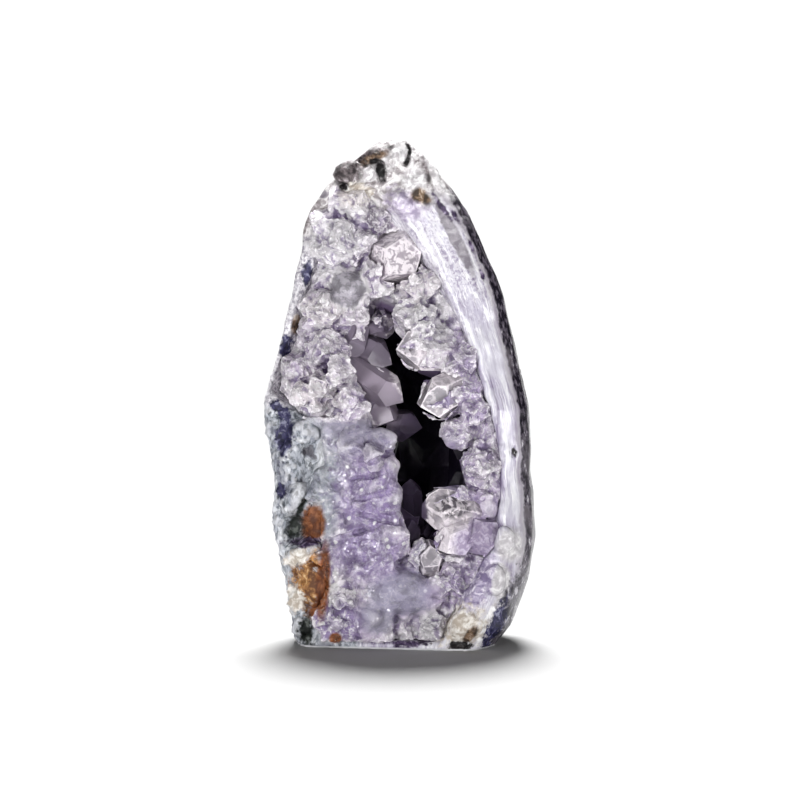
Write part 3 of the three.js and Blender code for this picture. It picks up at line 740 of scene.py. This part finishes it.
def pointMaterial():
    material, graph, place = newMaterial("clear quartz")
    across, up = graph.millimetres(place)[::2]
    rim, inner, gloom = graph.attributes("rim", "inner", "gloom")
    middling = graph.noise(place, 2.2 * mm, detail=4.0, distortion=0.8)
    fine = graph.noise(place, 0.7 * mm, detail=4.0, rough=0.7)
    crumbs = graph.noise(place, 1.5 * mm, distortion=0.8)
    wobble = (middling - 0.5) * 1.4 + (fine - 0.5) * 0.5
    marks = {name: patchMask(across, up, patches, wobble * 0.6) for name, patches in pointPatches.items()}
    inner = graph.larger(inner, marks["within"])
    flaws = middling.step(0.5, 0.6) * (1 - inner)
    # edge: pale along the facets' ridges, a painted highlight with some frost
    edge = (rim + (middling - 0.5) * 1.8 + (fine - 0.5)).step(0.35, 0.8) * (1 - inner)
    grains = graph.mix(crumbs.step(0.42, 0.56), (0.42, 0.37, 0.42), pointLook["frost"])
    purple = graph.mix(crumbs.step(0.44, 0.62), (0.24, 0.18, 0.32), (0.47, 0.41, 0.55))
    shade = graph.layers(pointLook["inner"], [
        (marks["mauve"], (0.27, 0.225, 0.285)),
        (marks["dark"], (0.07, 0.052, 0.09)),
    ])
    colour = graph.layers(pointLook["clear"], [
        (middling.step(0.46, 0.36) * 0.5, (0.42, 0.37, 0.44)),
        (marks["grey"] * 0.8, (0.46, 0.43, 0.48)),
        (flaws * 0.35, pointLook["frost"]),
        (marks["window"] * middling.step(0.6, 0.44) * 0.8, (0.13, 0.11, 0.14)),
        (marks["granular"] * (1 - inner), grains),
        (edge * 0.6, pointLook["frost"]),
        (marks["violet"] * 0.85, purple),
        # painted shade inside the hollow, near black where no light reaches
        (inner, shade),
        (gloom, (0.02, 0.014, 0.026)),
    ])
    height = (fine * 0.5 + middling) * (1 - inner * 0.8) + crumbs * marks["granular"] * 3
    milky = flaws * 0.3 + edge * 0.4 + marks["granular"] * 0.4 + marks["violet"] * 0.3 - marks["window"] * 0.2
    milky = graph.clamped(milky + 0.58 + inner * 0.5)
    roughness = ((fine - 0.4) * 0.15 + 0.14, inner * 0.16 + 0.18)
    finishQuartz(graph, pointLook, colour, graph.bump(0.3, 0.2 * mm, height), roughness, milky)
    return material


def buildPoints():
    piece = addObject("quartz_points", bpy.data.meshes.new("quartz_points"))
    points = pointSet(1.0)
    grow(piece, pointsTree(), {"Points": points, "Quartz": pointMaterial()})
    discard(points)
    markFacets(piece.data)
    markHollow(piece.data)
    piece.data.shade_flat()
    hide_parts("crystal_crust")
    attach(piece, "root")
    print("points:", len(piece.data.polygons), "faces")


# The amethyst bed: the frame's crust with small crystals between its large ones and a sugary skin
bedLook = {
    "seed": 11,
    "kinds": 8,
    "growth": {"Spacing": 5.2 * mm, "Smallest": 3.6 * mm, "Largest": 7.4 * mm, "Share": 0.6},  # the small crystals
    "grain": 0.75 * mm,  # longest triangle side where the bed is seen
    "splits": 6,
    "sugar": {"Size": 1.9 * mm, "Height": 0.5 * mm},
    "rounding": 40,
    "foldTurns": 24,
    "lilac": (0.64, 0.55, 0.7),
    "pale": (0.78, 0.72, 0.79),
    "absorbColour": (0.62, 0.5, 0.76),
    "absorbDensity": 60.0,
}
# Places where nothing small grows: the clear points, the smooth lump, the block's ledge and the hollow
bareBed = [
    (1.5, 73.5, 6, 5, 0, 0.2), (8, 61.5, 7, 6, 0, 0.2), (10, 36, 7, 5, 0, 0.2), (14, 27, 5, 5, 0, 0.2),
    (20, 28, 5, 5, 0, 0.2), (0.8, 14.1, 9.5, 6.5, 0, 0.2), (-10, 40, 18, 17, 0, 0.2), (2.5, 52, 9, 19, 0, 0.2),
    (-3, 76, 9, 9, 0, 0.2), (-7, 66, 6, 8, 0, 0.2), (3.5, 32, 3.5, 9, 0, 0.2), (6, 24, 4, 5, 0, 0.2),
    (-12.4, 88.4, 5, 5, 0, 0.2), (-17, 99, 7, 8, 0, 0.2), (-10, 24, 14, 5, 0, 0.3), (-21, 22, 4, 16, 0, 0.2),
    (11.8, 45, 3.4, 9, 0, 0.2),
]
calmBed = [(-9, 40, 15, 17, 0, 0.3), (-8, 24, 9, 8, 0, 0.4), (22, 30, 5, 8, 0, 0.5)]
smoothBed = [(0.8, 13.6, 9.5, 6.6, 0, 0.4), (-6.5, 8, 5, 5, 0, 0.6), (-10, 54, 12, 2.6, 0, 0.5),
             (-12.6, 88.6, 5, 4.8, 0, 0.3), (22, 29, 3.5, 6, 0, 0.4), (11.8, 45, 3, 9, 0, 0.5)]
bedGrooves = [(-7, 38, 4, 0.8, 12, 1), (-9, 42.6, 3, 0.6, 8, 1), (-5, 47.6, 4, 0.7, 20, 1),
              (-6, 32.6, 5, 0.7, -12, 1), (-12, 28.6, 5, 0.6, 14, 1)]
# Patches of colour: the colour and their places
bedPatches = {
    "frost": ((0.88, 0.85, 0.88), [
        (-16.4, 98.6, 8, 10, 0, 0.6), (-10, 109, 7, 5, 0, 0.6), (8, 84, 7, 9, 0, 0.8), (2, 88, 7, 6, 0, 0.8)]),
    "blush": ((0.9, 0.83, 0.87), [
        (-19.2, 83.5, 6, 3.8, 0, 0.5), (-20.5, 63, 7, 6, 0, 0.6), (4, 92, 7, 6, 0, 0.6), (-3, 100, 4, 4, 0, 0.5)]),
    "cream": ((0.95, 0.89, 0.86), [(-11, 112, 4.6, 3.6, 0, 0.6)]),
    # dusk: darker grey-purple patches, one a wedge between crystals: painted shade
    "dusk": ((0.32, 0.27, 0.35), [(-5.4, 102, 4, 7.5, 0, 0.5), (-11.2, 94.6, 4, 1.7, 55, 0.5)]),
    "halo": ((0.96, 0.93, 0.94), [(-12.7, 88.4, 5.1, 5.2, 0, 0.2)]),
    "egg": ((0.42, 0.4, 0.44), [(-13, 88.6, 4.3, 4.4, 0, 0.14)]),
    "ledge": ((0.5, 0.47, 0.6), [
        (-14, 52, 15, 4.6, 0, 0.6), (-17, 47, 6, 6, 0, 0.6), (7, 23, 4, 4, 0, 0.6), (-6, 8, 5, 4, 0, 0.6)]),
    "slate": ((0.4, 0.37, 0.5), [(0.8, 14.1, 9, 6.2, 0, 0.4)]),
    "moss": ((0.42, 0.45, 0.5), [(-19, 38, 4.5, 14, 0, 0.8)]),
    "violet": ((0.33, 0.25, 0.46), [(-7.5, 36, 8, 14, 0, 0.8), (-8, 24, 9, 7, 0, 0.8), (-16, 7, 7, 6, 0, 0.8)]),
    "heather": ((0.56, 0.46, 0.67), [
        (18, 66, 4, 16, 10, 0.8), (21, 28, 6, 12, 0, 1.2), (16, 14, 9, 7, 0, 0.8), (14, 46, 4, 10, 0, 1)]),
    "lavender": ((0.5, 0.42, 0.62), [(11.8, 45, 4, 9.4, 0, 0.7)]),
    "snow": ((0.9, 0.88, 0.89), [(10.6, 5, 6.6, 4.6, 0, 0.7), (-17, 17, 1.6, 5, 0, 0.6)]),
}


# Rounded bulges along the right edge of the block: middle and half size in mm
bedBulges = [
    ((-4.6, -13, 51.6), (5, 4, 4)), ((-3.6, -13.6, 44.8), (4.4, 4, 4)), ((-2.4, -14, 37.6), (4.4, 4, 4.2)),
    ((-2.4, -14.6, 31), (4.4, 3.8, 3.8)), ((-1, -15.2, 25), (4, 3.4, 3.4)), ((-10.5, -13.4, 47.6), (4, 3.4, 3)),
    ((-9, -14.6, 34.6), (3.6, 3.2, 3)), ((-13.6, -13.4, 27.6), (3.8, 3.2, 3)), ((-10.4, -14.6, 21.6), (3.4, 3, 2.8)),
]


def bulgeSet():
    meshes = []
    for number, (middle, size) in enumerate(bedBulges):
        solid = bmesh.new()
        bmesh.ops.create_icosphere(solid, subdivisions=2, radius=1)
        mesh = bpy.data.meshes.new(f"bulge {number}")
        solid.to_mesh(mesh)
        solid.free()
        mesh.transform(Matrix.Translation(Vector(middle) * mm) @ Matrix.Diagonal((*(Vector(size) * mm), 1)))
        meshes.append(mesh)
    return collected("bulges", meshes)


def smallCrystals():
    draw = random.Random(bedLook["seed"])
    return collected("small crystals", [
        crystalMesh(f"small crystal {number}", draw, draw.uniform(0.4, 0.8), draw.uniform(0.05, 0.4), 0.4)
        for number in range(bedLook["kinds"])
    ])


def bedTree():
    graph, inputs = newTree("crystal bed", {
        **dict.fromkeys(bedLook["growth"], "Float"), "Seed": "Int",
        **dict.fromkeys(("Kinds", "Bulges", "Sockets"), "Collection"), "Quartz": "Material",
    })

    def chance(kind, low, high, seed, out):
        return graph.node("FunctionNodeRandomValue", {
            "Min": low, "Max": high, "Seed": seed,
        }, out, data_type=kind)

    scatter = graph.node("GeometryNodeDistributePointsOnFaces", {
        "Mesh": inputs["Geometry"], "Distance Min": inputs["Spacing"], "Density Max": 400000.0,
        "Seed": inputs["Seed"],
    }, distribute_method="POISSON")
    normal, facing = [Signal(graph, scatter.socket.node.outputs[name]) for name in ("Normal", "Rotation")]
    across, deep, up = graph.millimetres(graph.node("GeometryNodeInputPosition"))
    towards = graph.node("ShaderNodeSeparateXYZ", {"Vector": normal}, out="Y")
    grows = (1 - patchMask(across, up, bareBed)) * behindCut(across, deep, up).step(9, 6) * inputs["Share"]
    grows = grows * towards.step(0.35, 0.1) * up.step(3.5, 5.5)
    kept = graph.node("GeometryNodeDeleteGeometry", {
        "Geometry": scatter,
        "Selection": graph.maths("GREATER_THAN", chance("FLOAT", 0.0, 1.0, inputs["Seed"] + 5, 1), grows),
    }, domain="POINT")
    turned = graph.node("FunctionNodeRotateRotation", {
        "Rotation": facing,
        "Rotate By": chance("FLOAT_VECTOR", (-0.5, -0.5, -3.1), (0.5, 0.5, 3.1), inputs["Seed"], 0),
    }, rotation_space="LOCAL")
    grade = chance("FLOAT", 0.0, 1.0, inputs["Seed"] + 1, 1)
    size = inputs["Smallest"] + grade * grade * (inputs["Largest"] - inputs["Smallest"])
    kinds = children(graph, inputs["Kinds"], **{"Reset Children": True})
    grown = graph.node("GeometryNodeInstanceOnPoints", {
        "Points": kept, "Instance": kinds, "Pick Instance": True, "Rotation": turned, "Scale": size,
    })
    joined = boolean(graph, "UNION", {"Mesh 2": [inputs["Geometry"], grown, children(graph, inputs["Bulges"])]})
    holed = boolean(graph, "DIFFERENCE", {"Mesh 1": joined, "Mesh 2": children(graph, inputs["Sockets"])})
    return finishTree(graph, holed, inputs["Quartz"])


# Splits long edges, and only those, where the bed can be seen, so that the sugar has corners to move
def refine(mesh, longest):
    solid = bmesh.new()
    solid.from_mesh(mesh)
    bmesh.ops.triangulate(solid, faces=solid.faces)
    for _ in range(bedLook["splits"]):
        solid.normal_update()
        long = []
        for edge in solid.edges:
            x, y, z = (edge.verts[0].co + edge.verts[1].co) / 2 / mm
            seen = behindCut(x, y, z) < 11 and min(face.normal.y for face in edge.link_faces) < 0.25
            if seen and edge.calc_length() > longest:
                long.append(edge)
        if not long:
            break
        bmesh.ops.subdivide_edges(solid, edges=long, cuts=1)
        bmesh.ops.triangulate(solid, faces=[face for face in solid.faces if len(face.verts) > 3])
    solid.to_mesh(mesh)
    solid.free()


def markRims(mesh):
    solid = bmesh.new()
    solid.from_mesh(mesh)
    solid.normal_update()
    setAttribute(mesh, "rim", [sharpness(corner) for corner in solid.verts])
    solid.free()


# How much a place of the bed is smoothed, 0 to 1, from its front view in mm
def calmness(x, z):
    total = np.full(len(x), 0.07)
    for weight, patches in ((1.0, smoothBed), (0.7, calmBed)):
        for centre, height, halfLength, halfWidth, _, soft in patches:
            reach = np.hypot((x - centre) / halfLength, (z - height) / halfWidth)
            total = np.maximum(total, weight * ramp(reach, 1 + soft / 2, 1 - soft / 2))
    return total


def roundOff(piece):
    x, y, z = (vertexPlaces(piece.data) / mm).T
    group = piece.vertex_groups.new(name="calm")
    inner = readField(piece.data.attributes["inner"].data, "value")[:, 0]
    weights = calmness(x, z) * (1 - inner) * (behindCut(x, y, z) < 10)
    for number in np.nonzero(weights > 0.01)[0]:
        group.add([int(number)], float(weights[number]), "REPLACE")
    soften(piece, 1.0, bedLook["rounding"], "calm")
    piece.vertex_groups.clear()


# Laid over the rest: iron stains that run on from the stone, and the grey crystal
bedStains = [
    ((0.4, 0.2, 0.07), [(-23, 17, 7.6, 4.3, 84, 0.4)]),
    ((0.37, 0.35, 0.39), [(-13, 88.4, 4.4, 4.5, 0, 0.2)]),
    ((0.2, 0.065, 0.022), [
        (-16, 2.7, 1.6, 1.5, 0, 0.5), (-21.7, 30.6, 5, 3.1, 86, 0.5), (-19.1, 16.8, 9, 1.8, 86, 0.5)]),
]


def sugarTree():
    graph, inputs = newTree("sugar", {**dict.fromkeys(bedLook["sugar"], "Float"), "Quartz": "Material"})
    place = graph.node("GeometryNodeInputPosition")
    across, up = graph.millimetres(place)[::2]
    smooth = graph.larger(patchMask(across, up, smoothBed), graph.stored("inner"))
    calm = patchMask(across, up, calmBed)
    scaled = graph.scaled(place, 1.0 / inputs["Size"])
    bends = graph.node("ShaderNodeTexNoise", {"Vector": scaled, "Scale": 0.8, "Detail": 2.0}, out="Color")
    bent = graph.node("ShaderNodeVectorMath", {0: scaled, 1: bends}, operation="ADD")
    lumps = graph.node("ShaderNodeTexVoronoi", {
        "Vector": bent, "Scale": 1.0, "Smoothness": 0.3,
    }, feature="SMOOTH_F1")
    crumbs = graph.noise(bent, 1 / 1.6, rough=0.6)
    waves = graph.noise(bent, 1 / 0.3, detail=2.0, rough=0.5)
    sugar = (0.45 - lumps) * 1.5 + (crumbs - 0.5) * 2.4 - waves.step(0.4, 0.3) * 1.6
    height = (sugar * (1 - calm * 0.55) + (waves - 0.5) * 3 * calm) * inputs["Height"] * (1 - smooth * 0.9)
    height = height - patchMask(across, up, bedGrooves, (waves - 0.5) * 1.5) * 0.9 * mm
    kept = graph.node("GeometryNodeStoreNamedAttribute", {
        "Geometry": raised(graph, inputs["Geometry"], height), "Name": "sugar", "Value": sugar * (1 - smooth),
    }, data_type="FLOAT", domain="POINT")
    return finishTree(graph, kept, inputs["Quartz"])


def bedMaterial():
    material, graph, place = newMaterial("amethyst bed")
    across, up = graph.millimetres(place)[::2]
    rim, fold, inner, gloom, sugar = graph.attributes("rim", "fold", "inner", "gloom", "sugar")
    broad = graph.noise(place, 10 * mm, detail=2.0)
    middling = graph.noise(place, 3 * mm, detail=4.0, distortion=0.4)
    fine = graph.noise(place, 0.7 * mm, detail=4.0, rough=0.7)
    mottle = graph.noise(place, 1.7 * mm, rough=0.6, distortion=0.5)
    vein = graph.maths("ABSOLUTE", graph.noise(place, 2.8 * mm, distortion=1.4) - 0.5).step(0.045, 0.015)
    wobble = (middling - 0.5) * 1.2
    smooth = graph.larger(patchMask(across, up, smoothBed), inner)
    calm = patchMask(across, up, calmBed, wobble * 0.3)
    rough = (1 - smooth * 0.8) * (1 - calm * 0.7)
    # crumb: whiter on the raised grains of the sugar, partly frost and partly painted highlight; darker between them,
    # painted shade
    crumb = sugar + (fine - 0.5) * 1.4
    pits = (graph.cells(place, 4.2 * mm) + (fine - 0.5) * 0.2).step(0.2, 0.1) * calm
    # white specks painted as glints: a painted highlight
    paintedGlints = (graph.cells(place, 3.2 * mm) + (fine - 0.5) * 0.3).step(0.2, 0.12) * (1 - inner) * (1 - smooth * 0.7)
    leftSide = (across + wobble * 3).step(-17, -22) * (up + wobble * 3).step(60, 55)
    # shade: the hollow's walls take a darker colour, lighter on their ridges, partly deeper amethyst, partly painted
    # shade and highlight
    shade = graph.mix(rim.step(0.1, 0.8), (0.15, 0.11, 0.19), (0.3, 0.24, 0.36))

    colour = graph.mix(broad.step(0.4, 0.6), bedLook["lilac"], bedLook["pale"])
    for tint, patches in bedPatches.values():
        colour = graph.mix(patchMask(across, up, patches, wobble * 0.6), colour, tint)
    colour = graph.layers(colour, [
        (crumb.step(0, 0.45) * rough * 0.85, (0.94, 0.9, 0.94)),
        (vein * rough * 0.7, (0.95, 0.93, 0.95)),
        (crumb.step(-0.1, -0.7) * rough * 0.75, (0.28, 0.21, 0.38)),
        (mottle.step(0.54, 0.66) * calm * 0.45, (0.8, 0.76, 0.87)),
        (mottle.step(0.46, 0.36) * calm * 0.55, (0.22, 0.16, 0.34)),
        (pits * 0.7, (0.16, 0.12, 0.22)),
        (paintedGlints, (0.98, 0.97, 0.98)),
        # painted highlight along ridges and on humps, painted shade in the folds
        (rim.step(0.3, 0.9) * rough * 0.4, (0.94, 0.92, 0.95)),
        (fold.step(-0.15, -0.7) * (1 - inner) * 0.4, (0.92, 0.88, 0.91)),
        (fold.step(0.12, 0.8) * 0.75, (0.2, 0.14, 0.3)),
        (leftSide * up.step(34, 38), sugarColour(graph, place)),
    ])
    for tint, patches in bedStains:
        stain = graph.mix(mottle.step(0.42, 0.58), tint, [part * 1.7 for part in tint])
        colour = graph.mix(patchMask(across, up, patches, wobble * 0.5), colour, stain)
    # painted shade inside the hollow, near black where no light reaches
    colour = graph.layers(colour, [(inner, shade), (gloom, (0.006, 0.004, 0.009))])

    height = fine * rough + middling * 0.3 + vein * rough * 0.5
    milky = middling.step(0.36, 0.64) * 0.3 + 0.45 + rim.step(0.15, 0.8) * 0.3 + leftSide * 0.3
    milky = graph.larger(graph.clamped(milky), inner)
    finishQuartz(graph, bedLook, colour, graph.bump(0.6, 0.25 * mm, height), ((fine - 0.4) * 0.2 + 0.08, 0.2), milky)
    return material


def buildBed():
    piece = mergedCopy("crystal_crust", "amethyst_bed")
    parts = {"Kinds": smallCrystals(), "Bulges": bulgeSet(), "Sockets": pointSet(pointLook["socketGrowth"])}
    material = bedMaterial()
    grow(piece, bedTree(), {**bedLook["growth"], "Seed": bedLook["seed"], **parts, "Quartz": material})
    for spare in parts.values():
        discard(spare)
    refine(piece.data, bedLook["grain"])
    markHollow(piece.data)
    roundOff(piece)
    grow(piece, sugarTree(), {**bedLook["sugar"], "Quartz": material})
    markRims(piece.data)
    markFolds(piece.data, bedLook["foldTurns"])
    piece.data.shade_flat()
    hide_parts("crystal_crust")
    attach(piece, "root")
    print("bed:", len(piece.data.polygons), "faces")


# Camera, floor and light
studio = {
    "elevation": 5.5,
    "distance": 1.21,
    "lens": 217.6,
    "aimHeight": 60.2 * mm,
    "floorSize": 40.0,
    "floorColour": (0.44, 0.44, 0.44),
}


def buildCamera():
    data = bpy.data.cameras.new("camera")
    data.lens = studio["lens"]
    data.sensor_width = 36.0
    data.clip_start = 0.05
    data.clip_end = 100.0
    camera = addObject("camera", data)
    tilt = math.radians(studio["elevation"])
    camera.location = (
        0, -math.cos(tilt) * studio["distance"], studio["aimHeight"] + math.sin(tilt) * studio["distance"],
    )
    camera.rotation_euler = (math.pi / 2 - tilt, 0, 0)
    bpy.context.scene.camera = camera


def buildFloor():
    half = studio["floorSize"] / 2
    mesh = bpy.data.meshes.new("floor")
    mesh.from_pydata([(-half, -half, 0), (half, -half, 0), (half, half, 0), (-half, half, 0)], [], [(0, 1, 2, 3)])
    material, graph, _ = newMaterial("pale floor")
    surface = graph.node("ShaderNodeBsdfPrincipled", {
        "Base Color": (*studio["floorColour"], 1), "Roughness": 0.9, "Specular IOR Level": 0.1,
    })
    graph.node("ShaderNodeOutputMaterial", {"Surface": surface})
    mesh.materials.append(material)
    addObject("floor", mesh)


# Dim surroundings, brighter overhead, so that facets differ
def buildWorld():
    world = bpy.data.worlds.new("studio")
    bpy.context.scene.world = world
    world.use_nodes = True
    world.node_tree.nodes.clear()
    graph = Graph(world.node_tree)
    towards = graph.node("ShaderNodeTexCoord", out="Generated")
    high = graph.node("ShaderNodeSeparateXYZ", {"Vector": towards}, out="Z")
    strength = high.step(0.5, 0.9) * 0.12 + 0.06
    light = graph.node("ShaderNodeBackground", {"Color": (1, 1, 1, 1), "Strength": strength})
    graph.node("ShaderNodeOutputWorld", {"Surface": light})


# Each with its place and its width and height in m, and its power
lights = {
    "front left": ((-0.6, -1.0, 0.07), (0.3, 0.12), 7.5),
    "front right": ((0.8, -0.7, 0.06), (0.2, 0.1), 4.2),
    "glint high": ((-0.25, -0.9, 0.45), (0.06, 0.06), 0.3),
    "glint right": ((0.35, -0.95, 0.3), (0.06, 0.06), 0.3),
    "glint side": ((-0.8, -0.6, 0.35), (0.06, 0.06), 0.3),
    "glint low": ((0.16, -1.0, 0.04), (0.06, 0.06), 0.4),
    "glint left": ((-0.2, -1.1, 0.12), (0.06, 0.06), 0.4),
}
sunlight = {"elevation": 62.0, "angle": 20.0, "strength": 8.1}  # from behind, for the shadow in front


def buildLights():
    target = Vector((0, 0, 65 * mm))
    for name, (at, size, power) in lights.items():
        data = bpy.data.lights.new(name, "AREA")
        data.shape = "RECTANGLE"
        data.size, data.size_y = size
        data.energy = power
        lamp = addObject(name, data)
        lamp.location = at
        lamp.rotation_euler = (target - lamp.location).to_track_quat("-Z", "Y").to_euler()
    sun = bpy.data.lights.new("sun", "SUN")
    sun.energy = sunlight["strength"]
    sun.angle = math.radians(sunlight["angle"])
    addObject("sun", sun).rotation_euler = (-math.radians(90 - sunlight["elevation"]), 0, 0)


buildCamera()
buildFloor()
buildWorld()
buildLights()
bpy.context.scene.view_settings.view_transform = "Standard"
print("studio ready")
buildStone()
buildPoints()
buildBed()
